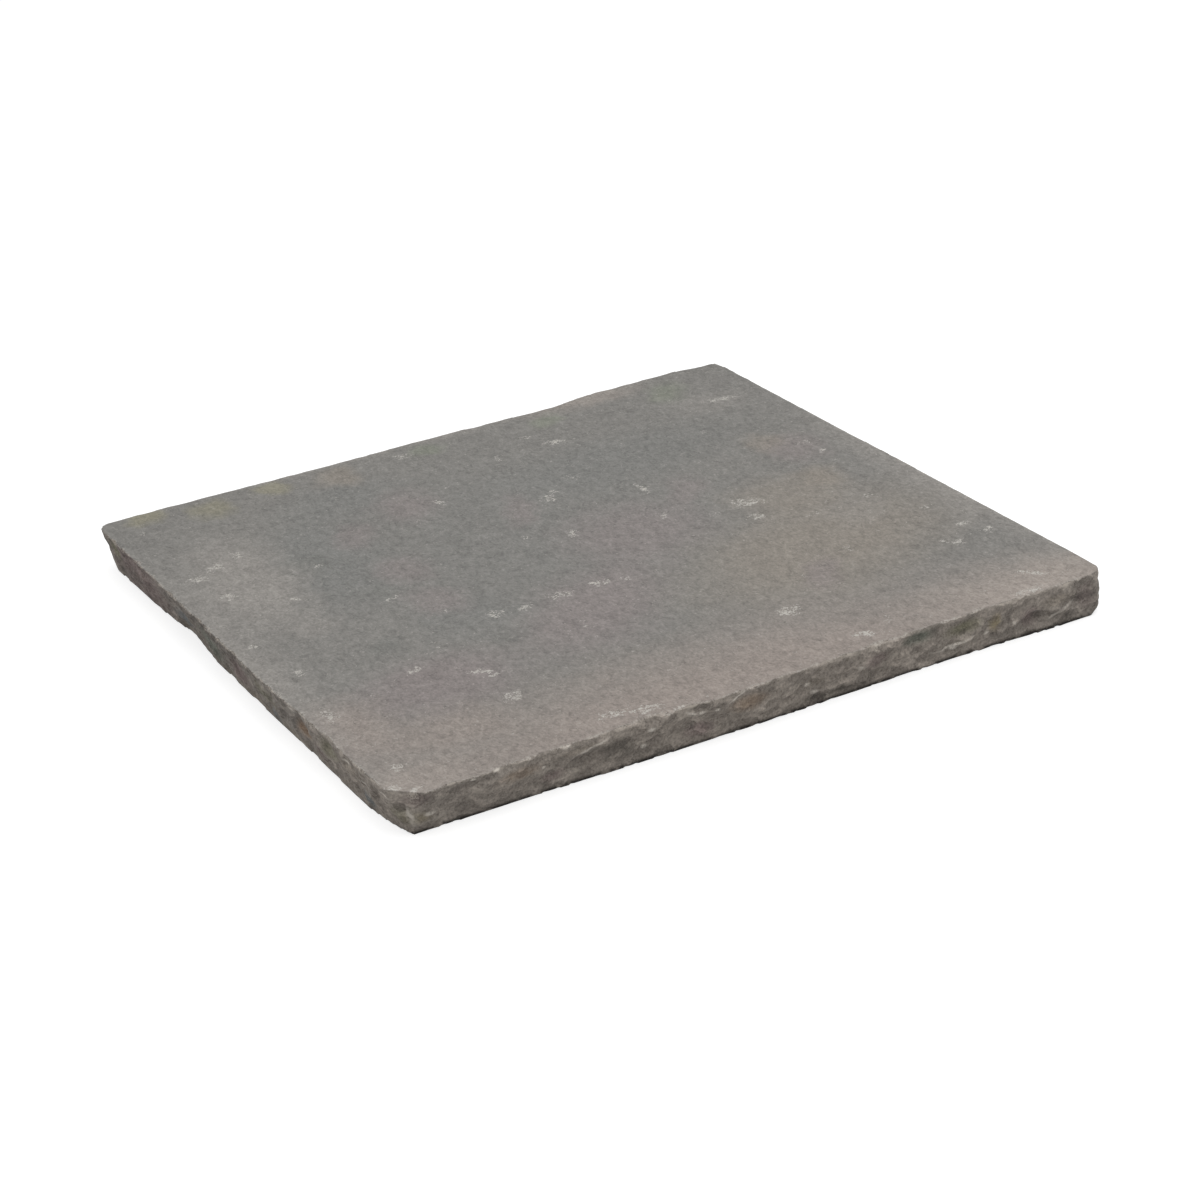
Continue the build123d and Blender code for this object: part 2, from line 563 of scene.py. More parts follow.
@dataclass(frozen=True)
class BluestoneFinish:
    """Dense grey sandstone: a mottled split tread, rough broken edges and pale bruises.

    Sizes and depths are in metres. A step goes from its first value to its second, and its third
    is how high it is.
    """

    name: str = "bluestone"
    tread_warps: tuple[tuple[float, float], ...] = ((40 * MM, 34 * MM), (9 * MM, 12 * MM))
    face_warps: tuple[tuple[float, float], ...] = ((26 * MM, 12 * MM), (6 * MM, 7 * MM))
    grains: tuple[Grain, ...] = (
        Grain(60 * MM, 0.10, 0.25),
        Grain(13 * MM, 0.38, 0.50, 0.6),
        Grain(4.5 * MM, 0.95, 1.0, 0.8),
        Grain(1.7 * MM, 0.78, 1.60),
    )
    grain_lie: tuple[float, float, float] = (1.0, 0.6, 1.0)
    grain_detail: float = 3.0
    warp_flatness: float = 3.0
    flake_size: float = 13 * MM
    flake_slant: tuple[float, float, float] = (0.2, -0.25, 0.1)
    flake_height: float = 0.6
    flake_warps: tuple[tuple[float, float], ...] = ((9 * MM, 8 * MM),)
    flake_middle: float = 0.5
    flake_shade: float = 0.35
    flake_spread: float = 0.45
    flake_depth: float = 2.6 * MM
    crest_bruise_and_highlight_step: tuple[float, float, float] = (0.7, 0.95, 0.6)
    broken_step: tuple[float, float] = (0.42, 0.56)
    crumb_step: tuple[float, float] = (-0.6, 0.6)
    tread_hardness: float = 0.25
    face_hardness: float = 0.2
    mark_hardness: float = 0.2
    bruise_warps: tuple[tuple[float, float], ...] = ((7 * MM, 10 * MM),)
    bruise_size: float = 2.2 * MM
    bruise_twist: float = 1.2
    bruise_step: tuple[float, float] = (0.62, 0.75)
    arris_step: tuple[float, float] = (0.42, 0.58)
    clump_size: float = 6 * MM
    clump_pull: float = 0.4
    cluster_pull: float = 0.17
    speck_strength: float = 0.5
    cluster_rim: float = 0.5
    pit_size: float = 2.8 * MM
    pit_twist: float = 1.0
    pit_step: tuple[float, float, float] = (0.62, 0.76, 0.35)
    blotch_size: float = 14 * MM
    blotch_step: tuple[float, float] = (0.36, 0.5)
    grit_size: float = 1.0 * MM
    grit_share: float = 0.5
    coarse_size: float = 4.0 * MM
    coarse_share: float = 0.9
    coarse_twist: float = 0.6
    grit_depth: float = 0.28 * MM
    edge_grit_depth: float = 0.6 * MM
    # How far the relief paints shade into the hollows and light onto the raised parts
    relief_shade_low: float = 0.86
    relief_shade_spread: float = 0.3
    tread_roughness: float = 0.8
    edge_roughness: float = 0.9
    roughness_spread: float = 0.12
    specular: float = 0.3

    def material(self) -> bpy.types.Material:
        """Return the finished material.

        Returns:
            A procedural material on Object coordinates and the slab's own attributes.
        """
        made = bpy.data.materials.new(self.name)
        made.use_nodes = True
        recipe = Recipe(made.node_tree)
        place = recipe.add("ShaderNodeTexCoord", output="Object")
        edge = self._attribute(recipe, "edge")
        flake, plate = self._flakes(recipe, place)
        bruise = self._bruises(recipe, place)
        grain = recipe.noise(place, self.grit_size, self.grain_detail)
        matt = self.tread_roughness + (self.edge_roughness - self.tread_roughness) * edge
        surface = recipe.add(
            "ShaderNodeBsdfPrincipled",
            inputs={
                "Base Color": self._colour(recipe, place, edge, bruise, flake, plate),
                "Roughness": matt + (grain - MEAN) * self.roughness_spread,
                "Specular IOR Level": self.specular,
                "Normal": self._grit(recipe, place, edge, flake),
            },
        )
        recipe.add("ShaderNodeOutputMaterial", inputs={"Surface": surface})
        return made

    def _attribute(self, recipe: Recipe, name: str) -> Wire:
        """Return one of the values that the slab's mesh carries."""
        settings = {"attribute_type": "GEOMETRY", "attribute_name": name}
        return recipe.add("ShaderNodeAttribute", settings, output="Fac")

    def _warped(self, recipe: Recipe, place: Wire, warps: tuple[tuple[float, float], ...]) -> Wire:
        """Push a place about at each scale, so that no patch has a plain outline.

        Args:
            recipe: the material's nodes.
            place: Object coordinates.
            warps: for each scale, how wide its waves are and how far they push.

        Returns:
            The place where the patches are read.
        """
        for size, reach in warps:
            drift = recipe.vector("SUBTRACT", recipe.noise(place, size, output=1), (MEAN, MEAN, MEAN))
            spread = (reach, reach, reach / self.warp_flatness)
            place = recipe.vector("MULTIPLY_ADD", drift, spread, place)
        return place

    def _patched(self, recipe: Recipe, place: Wire, ground: Tint, patches: tuple, hardness: float) -> Wire:
        """Lay patches over the ground colour, one after the other.

        Args:
            recipe: the material's nodes.
            place: where the patches are read.
            ground: the tint under them.
            patches: the patches, the lowest first.
            hardness: the share of a patch's half size that is at full strength.

        Returns:
            The colour.
        """
        colour = linear(ground.value)
        for patch in patches:
            colour = recipe.blend(recipe.inside(place, patch, hardness), colour, linear(patch.tint.value))
        return colour

    def _colour(
        self, recipe: Recipe, place: Wire, edge: Wire, bruise: Wire, flake: Wire, plate: Wire
    ) -> Wire:
        """Return the stone's colour.

        Args:
            recipe: the material's nodes.
            place: Object coordinates.
            edge: 1 on the four pitched faces, 0 on the tread and underside.
            bruise: how far the stone is bruised pale.
            flake: 0 in the middle of each broken flake, rising to its rim.
            plate: a value of its own for each flake, from 0 to 1.

        Returns:
            The colour for the shader.
        """
        # The tread, and the faces, on which painted light and shade follow their relief and their flakes:
        # lighter on the raised parts and crests, darker in the hollows, and each flake with a tone of its
        # own
        warped = self._warped(recipe, place, self.tread_warps)
        tread = self._patched(recipe, warped, Tint.GROUND, TREAD_PATCHES, self.tread_hardness)
        warped = self._warped(recipe, place, self.face_warps)
        face = self._patched(recipe, warped, Tint.EDGE, FRONT_PATCHES + LEFT_PATCHES, self.face_hardness)
        relief_shade_and_tone = self._attribute(recipe, "relief") * self.relief_shade_spread + self.relief_shade_low
        # Painted shade in the middle of each flake and painted light towards its rim
        relief_shade_and_tone = relief_shade_and_tone * ((flake - self.flake_middle) * self.flake_shade + 1.0)
        relief_shade_and_tone = relief_shade_and_tone * ((plate - MEAN) * self.flake_spread + 1.0)
        stone = recipe.blend(edge, tread, recipe.shade(face, relief_shade_and_tone))
        # Grain at each scale, drawn out from front to back
        shade = 1.0
        lain = recipe.vector("MULTIPLY", place, self.grain_lie)
        for grain in self.grains:
            uneven = recipe.noise(lain, grain.size, self.grain_detail, grain.twist) - MEAN
            shade = uneven * (grain.tread + (grain.edge - grain.tread) * edge) + shade
        stone = recipe.shade(stone, shade)
        # The foot, darkened partly by grime and partly by painted contact shadow, the dark pits, and at
        # last what is bruised or chipped pale, with the flake crests pale partly as bruised stone and
        # partly as painted highlight
        blotches = recipe.step(recipe.noise(place, self.blotch_size), *self.blotch_step)
        foot = self._attribute(recipe, "foot") * blotches
        stone = recipe.blend(foot, stone, linear(Tint.DAMP.value))
        dark = recipe.step(recipe.noise(place, self.pit_size, twist=self.pit_twist), *self.pit_step)
        stone = recipe.shade(stone, 1 - dark)
        pale = recipe.blend(edge, linear(Tint.BRUISE.value), linear(Tint.CHIP.value))
        broken = recipe.step(recipe.noise(place, self.bruise_size), *self.broken_step)
        # Flake crests turn pale, partly as bruised stone and partly as painted highlight
        rim = recipe.step(flake, *self.crest_bruise_and_highlight_step) * broken * edge
        chip = self._covered(recipe, place, FACE_CHIPS) * edge * recipe.step(broken, *self.crumb_step)
        stone = recipe.blend(bruise.most(rim), stone, pale)
        return recipe.blend(chip, stone, linear(Tint.FRESH.value))

    def _bruises(self, recipe: Recipe, place: Wire) -> Wire:
        """Bruise the stone pale, in clusters, in specks and along the arrises.

        Args:
            recipe: the material's nodes.
            place: Object coordinates.

        Returns:
            How far each point is bruised.
        """
        # Specks show where they gather into clumps, and more of them where the tread was struck
        specks = recipe.noise(place, self.bruise_size, self.grain_detail, self.bruise_twist)
        clumps = recipe.noise(place, self.clump_size) - MEAN
        cluster = self._covered(recipe, self._warped(recipe, place, self.bruise_warps), BRUISES)
        gathered = specks + clumps * self.clump_pull + cluster * self.cluster_pull
        depth = recipe.step(cluster, 0.0, self.cluster_rim, 1 - self.speck_strength) + self.speck_strength
        arris = self._attribute(recipe, "bruise") * recipe.step(specks, *self.arris_step)
        return (recipe.step(gathered, *self.bruise_step) * depth).most(arris)

    def _covered(self, recipe: Recipe, place: Wire, patches: tuple[Patch, ...]) -> Wire:
        """Find the strongest patch at each point.

        Args:
            recipe: the material's nodes.
            place: where the patches are read.
            patches: the patches.

        Returns:
            Its strength, or 0 where there is none.
        """
        covered = 0.0
        for patch in patches:
            covered = recipe.inside(place, patch, self.mark_hardness).most(covered)
        return covered

    def _flakes(self, recipe: Recipe, place: Wire) -> tuple[Wire, Wire]:
        """Break the stone up into slanted flakes.

        Args:
            recipe: the material's nodes.
            place: Object coordinates.

        Returns:
            How far each point is from the middle of its flake, and a value of each flake's own.
        """
        drifted = self._warped(recipe, place, self.flake_warps)
        slanted = {"Vector": drifted, "Rotation": self.flake_slant, "Scale": (1.0, 1.0, self.flake_height)}
        drawn = recipe.add("ShaderNodeMapping", {"vector_type": "TEXTURE"}, slanted)
        sockets = {"Vector": drawn, "Scale": 1 / self.flake_size}
        flake = recipe.add("ShaderNodeTexVoronoi", {"voronoi_dimensions": "3D"}, sockets, "Distance")
        colour = Wire(recipe, flake.socket.node.outputs["Color"])
        plate = recipe.add("ShaderNodeSeparateColor", inputs={"Color": colour}, output="Red")
        return flake, plate

    def _grit(self, recipe: Recipe, place: Wire, edge: Wire, flake: Wire) -> Wire:
        """Roughen the shader normal by sand grain, and dent it by the flakes on the faces.

        Args:
            recipe: the material's nodes.
            place: Object coordinates.
            edge: 1 on the four pitched faces, 0 on the tread and underside.
            flake: 0 in the middle of each broken flake, rising to its rim.

        Returns:
            The normal for the shader.
        """
        fine = recipe.noise(place, self.grit_size, self.grain_detail)
        coarse = recipe.noise(place, self.coarse_size, self.grain_detail, self.coarse_twist)
        depth = self.grit_depth + (self.edge_grit_depth - self.grit_depth) * edge
        stony = fine * self.grit_share + coarse * self.coarse_share
        height = stony * depth + flake * edge * self.flake_depth
        return recipe.add("ShaderNodeBump", inputs={"Strength": 1.0, "Distance": 1.0, "Height": height})


@dataclass(frozen=True)
class Outline:
    """The paver's plan, on which a place is given by its distance along the edge.

    Its squareness says how sharply the way out of the paver turns at a corner.
    """

    low: Vector
    high: Vector
    squareness: float = 24.0
    tiny: float = 1e-12

    @property
    def middle(self) -> np.ndarray:
        """Return the middle of the plan."""
        return np.array(((self.low.x + self.high.x) / 2, (self.low.y + self.high.y) / 2))

    @property
    def half(self) -> np.ndarray:
        """Return half the width and half the depth."""
        return np.array(((self.high.x - self.low.x) / 2, (self.high.y - self.low.y) / 2))

    @property
    def perimeter(self) -> float:
        """Return the length all the way round."""
        return float(4 * self.half.sum())

    def share(self, points: np.ndarray) -> np.ndarray:
        """Return x and y as shares of the half sizes, from -1 to 1."""
        return (points[:, :2] - self.middle) / self.half

    def along(self, points: np.ndarray) -> np.ndarray:
        """Return how far round each point is, counterclockwise from the near left corner.

        Args:
            points: an array of points.

        Returns:
            The distance along the outline, in metres.
        """
        x, y = self.share(points).T
        wide, deep = self.half
        front = -y >= np.abs(x)
        back = y >= np.abs(x)
        right = ~front & ~back & (x > 0)
        walked = 4 * wide + 2 * deep + (1 - y) * deep
        walked = np.where(front, (x + 1) * wide, walked)
        walked = np.where(right, 2 * wide + (y + 1) * deep, walked)
        return np.where(back, 2 * wide + 2 * deep + (1 - x) * wide, walked)

    def outward(self, points: np.ndarray) -> np.ndarray:
        """Return the level direction that leads out of the paver.

        Args:
            points: an array of points.

        Returns:
            A unit vector for each point, square to the edge and turning at the corners.
        """
        share = self.share(points)
        pull = np.sign(share) * np.abs(share) ** self.squareness
        pull /= np.maximum(np.linalg.norm(pull, axis=1, keepdims=True), self.tiny)
        return np.column_stack((pull, np.zeros(len(points))))

    def inset(self, points: np.ndarray) -> np.ndarray:
        """Return how far inside the plan's box each point is."""
        return ((1 - np.abs(self.share(points))) * self.half).min(axis=1)

    @property
    def corners(self) -> np.ndarray:
        """Return how far round each corner is, from the near left one back to itself."""
        wide, deep = self.half
        return np.cumsum((0, 2 * wide, 2 * deep, 2 * wide, 2 * deep))

    def from_corner(self, walked: np.ndarray | float) -> np.ndarray:
        """Return the distance along the edge to the nearest corner."""
        return np.abs(np.asarray(walked)[..., None] - self.corners).min(axis=-1)

    def side(self, walked: np.ndarray | float) -> np.ndarray:
        """Return which side a place is on: 0 for the front, then the right, the back and the left."""
        return np.searchsorted(self.corners[1:-1], walked)


@dataclass(frozen=True)
class Spall:
    """One shallow shell, struck off an edge face by a blow."""

    along: float
    height: float
    half_length: float
    half_height: float
    turn: float
    bite: float


def front_spall(along: float, below: float, long: float, high: float, turn: float, bite: float) -> Spall:
    """Describe a hollow in the front face, placed and sized like a patch there, and its depth."""
    height = HIGH.z - LOW.z - below * MM
    return Spall(along * MM, height, long * MM, high * MM, math.radians(turn), bite * MM)


# The larger hollows of the near face, from left to right
FRONT_HOLLOWS = laid(
    front_spall,
    (77, 4, 10, 4, 0, 1.6),
    (112, 5, 18, 6, -5, 1.8),
    (128, 26, 26, 9, 15, 1.5),
    (160, 19, 26, 6, 19, 1.6),
    (198, 16, 20, 17, 60, 1.9),
    (262, 21, 30, 9, -14, 2.2),
    (298, 12, 24, 10, -20, 1.6),
    (345, 26, 18, 8, 10, 1.6),
    (392, 24, 26, 7, -10, 1.8),
    (430, 10, 16, 9, 20, 1.4),
    (477, 10, 24, 11, 0, 2.0),
    (480, 32, 26, 6, 4, 2.0),
    (520, 18, 8, 16, 0, 1.4),
    (553, 27, 22, 8, -12, 1.3),
    (586, 22, 30, 8, -28, 1.5),
)


@dataclass(frozen=True)
class SpallRow:
    """A row of blows that differ in size and depth, in millimetres, and in slant, in degrees."""

    count: int
    length: tuple[float, float]
    height: tuple[float, float]
    bite: tuple[float, float]
    slant: tuple[float, float]
    seed: int
    beyond: float = 0.05

    def spalls(self, outline: Outline, thickness: float) -> list[Spall]:
        """Scatter the row's blows round the paver.

        Args:
            outline: the paver's plan.
            thickness: the height of its edge.

        Returns:
            The spalls, evenly spread along the edge and at random heights.
        """
        draw = random.Random(self.seed)
        step = outline.perimeter / self.count
        return [
            Spall(
                (number + draw.random()) * step,
                draw.uniform(-self.beyond, 1 + self.beyond) * thickness,
                draw.uniform(*self.length) * MM,
                draw.uniform(*self.height) * MM,
                math.radians(draw.uniform(*self.slant)),
                draw.uniform(*self.bite) * MM,
            )
            for number in range(self.count)
        ]


@dataclass(frozen=True)
class Chips:
    """Small chips along the arris or the foot: each is a scoop as round as a ball."""

    count: int
    half_length: tuple[float, float]
    bite: tuple[float, float]
    rise: tuple[float, float]
    seed: int


@dataclass
class Slab:
    """The paver itself: one split slab with four pitched edges.

    Lengths are in metres, and a row of four holds a share each for the front, the right, the
    back and the left side.
    """

    name: str = "paver"
    # How fine the mesh is, and how far in from the edge the chisel reaches
    merge_gap: float = 0.01 * MM
    grid: float = 1.3 * MM
    triangles: int = 190_000
    band: float = 20 * MM
    band_end: float = 45 * MM
    corner_rest: float = 22 * MM
    # The blows on the faces, and how far they spare the arris and the foot
    blows: SpallRow = SpallRow(330, (8.0, 22.0), (4.0, 10.0), (0.6, 2.0), (-10, 50), 3)
    ledges: SpallRow = SpallRow(90, (15.0, 38.0), (2.5, 4.5), (0.8, 1.8), (-25, 25), 4)
    flakes: SpallRow = SpallRow(3000, (2.5, 9.0), (1.6, 4.5), (0.3, 1.2), (-30, 60), 5)
    sunk: float = 1.9 * MM
    deep: float = 5 * MM
    arris_rest: float = 7 * MM
    arris_shares: tuple[float, ...] = (0.2, 0.06, 0.06, 0.15)
    foot_rest: float = 12 * MM
    foot_share: float = 0.03
    # Where the arris and the foot broke true, and the chips along them
    true_height: float = 6 * MM
    true_step: float = 3 * MM
    true_reach: int = 6
    true_foot: tuple[float, ...] = (1.0, 0.6, 0.6, 0.35)
    true_arris: tuple[float, ...] = (0.0, 1.0, 1.0, 0.0)
    arris_chips: Chips = Chips(250, (2 * MM, 7 * MM), (0.3 * MM, 1.4 * MM), (15, 60), 7)
    foot_chips: Chips = Chips(24, (3 * MM, 6 * MM), (0.2 * MM, 0.4 * MM), (-65, -25), 11)
    side_shares: tuple[float, ...] = (1.0, 0.12, 0.15, 1.2)
    lip_depth: float = 15 * MM
    # Where the stone shows fresh, worn pale along the lip, or dark at its foot, partly by grime and partly
    # by painted contact shadow
    lip_shares: tuple[float, ...] = (0.45, 0.3, 0.3, 0.2)
    lip_height: float = 2.5 * MM
    fresh_skin: float = 0.6 * MM
    fresh_above: float = 0.5
    foot_shade_shares: tuple[float, ...] = (1.0, 0.5, 0.5, 0.2)
    foot_shade_top: float = 1.7
    foot_shade_fade: float = 2.6 * MM
    foot_gain: float = 4.0
    # What counts as a face or a sharp edge, and the grain and the swell of the surface
    group_steps: int = 8
    steepness: float = 2.5
    crease: float = 50.0
    edge_grit: float = 0.9 * MM
    edge_grit_size: float = 4.5 * MM
    edge_lump_size: float = 11.7 * MM
    relief_detail: int = 3
    tread_swell: float = 0.5 * MM
    tread_swell_size: float = 70 * MM
    tread_skin: float = 0.16 * MM
    tread_skin_size: float = 7 * MM

    def __post_init__(self) -> None:
        """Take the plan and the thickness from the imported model."""
        self.outline = Outline(LOW, HIGH)
        self.thickness = HIGH.z - LOW.z
        self.scoops: list[tuple[np.ndarray, float]] = []

    def build(self) -> bpy.types.Object:
        """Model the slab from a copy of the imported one.

        Returns:
            The finished mesh object, at the origin.
        """
        self.piece = self._copy()
        self._refine()
        self._strike()
        self._chip(self.foot_chips, LOW.z)
        self._true(LOW.z, self.true_foot)
        self._true(HIGH.z, self.true_arris)
        self._chip(self.arris_chips, HIGH.z)
        self._roughen()
        self._thin()
        self._finish_mesh()
        return self.piece

    def _copy(self) -> bpy.types.Object:
        """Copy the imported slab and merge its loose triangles.

        Returns:
            The copy, selected and active.
        """
        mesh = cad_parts[NODE].data.copy()
        piece = bpy.data.objects.new(self.name, mesh)
        bpy.context.scene.collection.objects.link(piece)
        bpy.ops.object.select_all(action="DESELECT")
        piece.select_set(True)
        bpy.context.view_layer.objects.active = piece
        bpy.ops.object.mode_set(mode="EDIT")
        bpy.ops.mesh.select_all(action="SELECT")
        bpy.ops.mesh.remove_doubles(threshold=self.merge_gap)
        bpy.ops.object.mode_set(mode="OBJECT")
        return piece

    def _apply(self, kind: str, **settings: object) -> None:
        """Add a modifier and apply it.

        Args:
            kind: the modifier's type.
            settings: its settings, by name.
        """
        modifier = self.piece.modifiers.new(kind, kind)
        for name, value in settings.items():
            setattr(modifier, name, value)
        bpy.ops.object.modifier_apply(modifier=modifier.name)

    def _points(self) -> np.ndarray:
        """Read the mesh's vertices.

        Returns:
            An array of points.
        """
        points = np.empty(len(self.piece.data.vertices) * 3, np.float32)
        self.piece.data.vertices.foreach_get("co", points)
        return points.reshape(-1, 3).astype(float)

    def _move(self, points: np.ndarray) -> None:
        """Move the mesh's vertices to these points."""
        self.piece.data.vertices.foreach_set("co", points.astype(np.float32).ravel())
        self.piece.data.update()

    def _refine(self) -> None:
        """Cover the slab with an even grid, fine enough for its chips."""
        self._apply("REMESH", mode="VOXEL", voxel_size=self.grid, adaptivity=0.0)

    def _relief(self, points: np.ndarray) -> np.ndarray:
        """Work out how deep the blows have bitten, one set on top of the other.

        Args:
            points: an array of points.

        Returns:
            The depth at each point below the mean, in metres, which is less at the arris, the
            foot and the corners.
        """
        # In their order along the edge, each blow touches one run of points
        walked = self.outline.along(points)
        order = np.argsort(walked)
        walked = walked[order]
        height = points[order, 2] - LOW.z
        total = np.zeros(len(points))
        rows = [row.spalls(self.outline, self.thickness) for row in (self.blows, self.ledges, self.flakes)]
        for spalls in (FRONT_HOLLOWS, *rows):
            deepest = np.zeros(len(points))
            for spall in spalls:
                reach = max(spall.half_length, spall.half_height)
                first, last = np.searchsorted(walked, (spall.along - reach, spall.along + reach))
                level = walked[first:last] - spall.along
                upright = height[first:last] - spall.height
                cos, sin = math.cos(spall.turn), math.sin(spall.turn)
                long = (level * cos + upright * sin) / spall.half_length
                high = (upright * cos - level * sin) / spall.half_height
                depth = spall.bite * (1 - long**2 - high**2)
                deepest[first:last] = np.maximum(deepest[first:last], depth)
            total += deepest
        relief = np.empty(len(points))
        relief[order] = total - self.sunk
        return relief * self._exposed(points)

    def _exposed(self, points: np.ndarray) -> np.ndarray:
        """Work out how far the stone gives way to a blow.

        Args:
            points: an array of points.

        Returns:
            A share from 0 to 1 for each point, less at the arris, the foot and the corners.
        """
        walked = self.outline.along(points)
        below = np.clip((HIGH.z - points[:, 2]) / self.arris_rest, 0, 1)
        above = np.clip((points[:, 2] - LOW.z) / self.foot_rest, 0, 1) ** 2
        corner = np.clip(self.outline.from_corner(walked) / self.corner_rest, 0, 1) ** 2
        arris = np.array(self.arris_shares)[self.outline.side(walked)]
        return corner * (arris + (1 - arris) * below) * (self.foot_share + (1 - self.foot_share) * above)

    def _strike(self) -> None:
        """Strike the spalls off the four edges."""
        points = self._points()
        inset = self.outline.inset(points)
        edge = np.clip((self.band_end - inset) / (self.band_end - self.band), 0, 1)
        near = edge > 0
        chosen = points[near]
        depth = self._relief(chosen) * edge[near]
        chosen -= self.outline.outward(chosen) * depth[:, None]
        points[near] = chosen
        self._move(points)

    def _chip(self, chips: Chips, level: float) -> None:
        """Scoop chips out of the arris or the foot.

        Args:
            chips: their number and sizes.
            level: the height of the edge they break.
        """
        draw = random.Random(chips.seed)
        points = self._points()
        near = np.flatnonzero(self.outline.inset(points) < self.band_end)
        band = points[near]
        walked = self.outline.along(band)
        outward = self.outline.outward(band)
        inset = self.outline.inset(band)
        at_lip = (np.abs(band[:, 2] - level) < self.grid) & (inset < self.lip_depth)
        step = self.outline.perimeter / chips.count
        for number in range(chips.count):
            along = (number + draw.random()) * step
            half_length = draw.uniform(*chips.half_length)
            bite = draw.uniform(*chips.bite) * half_length / chips.half_length[1]
            bite = max(bite, chips.bite[0]) * self.side_shares[self.outline.side(along)]
            rise = math.radians(draw.uniform(*chips.rise))
            beside = np.flatnonzero(at_lip & (np.abs(walked - along) < self.grid))
            if self.outline.from_corner(along) < self.corner_rest or not len(beside):
                continue
            # The chip breaks off at the outermost point, and its ball bites in from outside
            lip = beside[np.argmin(inset[beside])]
            radius = half_length**2 / (2 * bite)
            aim = outward[lip] * math.cos(rise) + np.array((0, 0, math.sin(rise)))
            centre = band[lip] + aim * (radius - bite)
            gap = band - centre
            away = np.linalg.norm(gap, axis=1)
            struck = away < radius
            band[struck] = centre + gap[struck] * (radius / away[struck])[:, None]
            self.scoops.append((centre, radius))
        points[near] = band
        self._move(points)

    def _true(self, level: float, shares: tuple[float, ...]) -> None:
        """Draw the arris or the foot out towards its smoothest line, where the stone broke true.

        Args:
            level: the height of that edge.
            shares: how far it is drawn out on each side, from 0 to 1.
        """
        points = self._points()
        from_level = np.abs(points[:, 2] - level)
        near = np.flatnonzero((self.outline.inset(points) < self.band) & (from_level < self.true_height))
        lip = points[near]
        walked = self.outline.along(lip)
        inset = self.outline.inset(lip)
        # The edge's own line, as one inset for each step along it, and a smooth one outside it
        steps = (walked / self.true_step).astype(int)
        line = np.full(steps.max() + 1, self.band)
        at_level = from_level[near] < self.grid
        np.minimum.at(line, steps[at_level], inset[at_level])
        reach = range(-self.true_reach, self.true_reach + 1)
        outer = np.min([np.roll(line, shift) for shift in reach], axis=0)
        outer = np.mean([np.roll(outer, shift) for shift in reach], axis=0)
        places = (np.arange(len(line)) + 0.5) * self.true_step
        local = np.interp(walked, places, line)
        # The draw fades out away from the edge's level, towards the corners and behind the line
        fade = np.array(shares)[self.outline.side(walked)] * (1 - from_level[near] / self.true_height)
        fade *= np.clip(self.outline.from_corner(walked) / self.corner_rest - 1, 0, 1)
        fade *= np.clip(2 - inset / local, 0, 1)
        draw = np.maximum(local - np.interp(walked, places, outer), 0) * fade
        points[near] = lip + self.outline.outward(lip) * draw[:, None]
        self._move(points)

    def _group(self, name: str, weights: np.ndarray) -> str:
        """Store weights as a vertex group, in even steps.

        Args:
            name: the group's name.
            weights: a weight from 0 to 1 for each vertex.

        Returns:
            The name under which the group is found.
        """
        group = self.piece.vertex_groups.new(name=name)
        steps = np.rint(weights * self.group_steps).astype(int)
        for step in range(1, self.group_steps + 1):
            members = np.flatnonzero(steps == step)
            group.add(members.tolist(), step / self.group_steps, "REPLACE")
        return group.name

    def _edge_weights(self, points: np.ndarray) -> np.ndarray:
        """Tell the pitched faces from the tread and the underside.

        Args:
            points: the mesh's vertices.

        Returns:
            1 on the pitched faces and 0 on the other two.
        """
        normals = np.empty(len(points) * 3, np.float32)
        self.piece.data.vertices.foreach_get("normal", normals)
        steep = 1 - np.abs(normals.reshape(-1, 3)[:, 2])
        outer = self.outline.inset(points) < self.band
        return np.clip(steep * self.steepness, 0, 1) * outer

    def _roughen(self) -> None:
        """Give the faces their broken grain and the tread its low swell."""
        points = self._points()
        edge = self._edge_weights(points)
        edge_group = self._group("faces", edge * self._exposed(points))
        flat_group = self._group("beds", 1 - edge)
        reliefs = (
            (edge_group, self.edge_grit_size, self.edge_grit, MEAN),
            (edge_group, self.edge_lump_size, self.edge_grit, MEAN),
            (flat_group, self.tread_swell_size, self.tread_swell, 1.0),
            (flat_group, self.tread_skin_size, self.tread_skin, 1.0),
        )
        for number, (group, size, depth, middle) in enumerate(reliefs):
            texture = bpy.data.textures.new(f"relief_{number}", "CLOUDS")
            texture.noise_scale = size
            texture.noise_depth = self.relief_detail
            self._apply(
                "DISPLACE",
                texture=texture,
                texture_coords="LOCAL",
                strength=depth,
                mid_level=middle,
                vertex_group=group,
            )

    def _thin(self) -> None:
        """Take out the vertices that the flat parts don't need."""
        self.piece.data.calc_loop_triangles()
        count = len(self.piece.data.loop_triangles)
        if count > self.triangles:
            self._apply("DECIMATE", ratio=self.triangles / count, use_collapse_triangulate=True)

    def _finish_mesh(self) -> None:
        """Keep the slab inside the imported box, store what its finish reads, and smooth it."""
        points = np.clip(self._points(), np.array(LOW), np.array(HIGH))
        self._move(points)
        self.piece.vertex_groups.clear()
        bpy.ops.object.shade_smooth_by_angle(angle=math.radians(self.crease))
        edge = self._edge_weights(points)
        relief = self._relief(points)
        # Fresh stone shows where a chip's ball is still the surface, on the upper part of the face
        fresh = np.zeros(len(points))
        for centre, radius in self.scoops:
            gap = np.abs(np.linalg.norm(points - centre, axis=1) - radius)
            fresh = np.maximum(fresh, np.clip(1 - gap / self.fresh_skin, 0, 1))
        fresh *= points[:, 2] > self.fresh_above * HIGH.z
        lip = np.clip(1 - (HIGH.z - points[:, 2]) / self.lip_height, 0, 1) * edge
        side = self.outline.side(self.outline.along(points))
        lip *= np.array(self.lip_shares)[side]
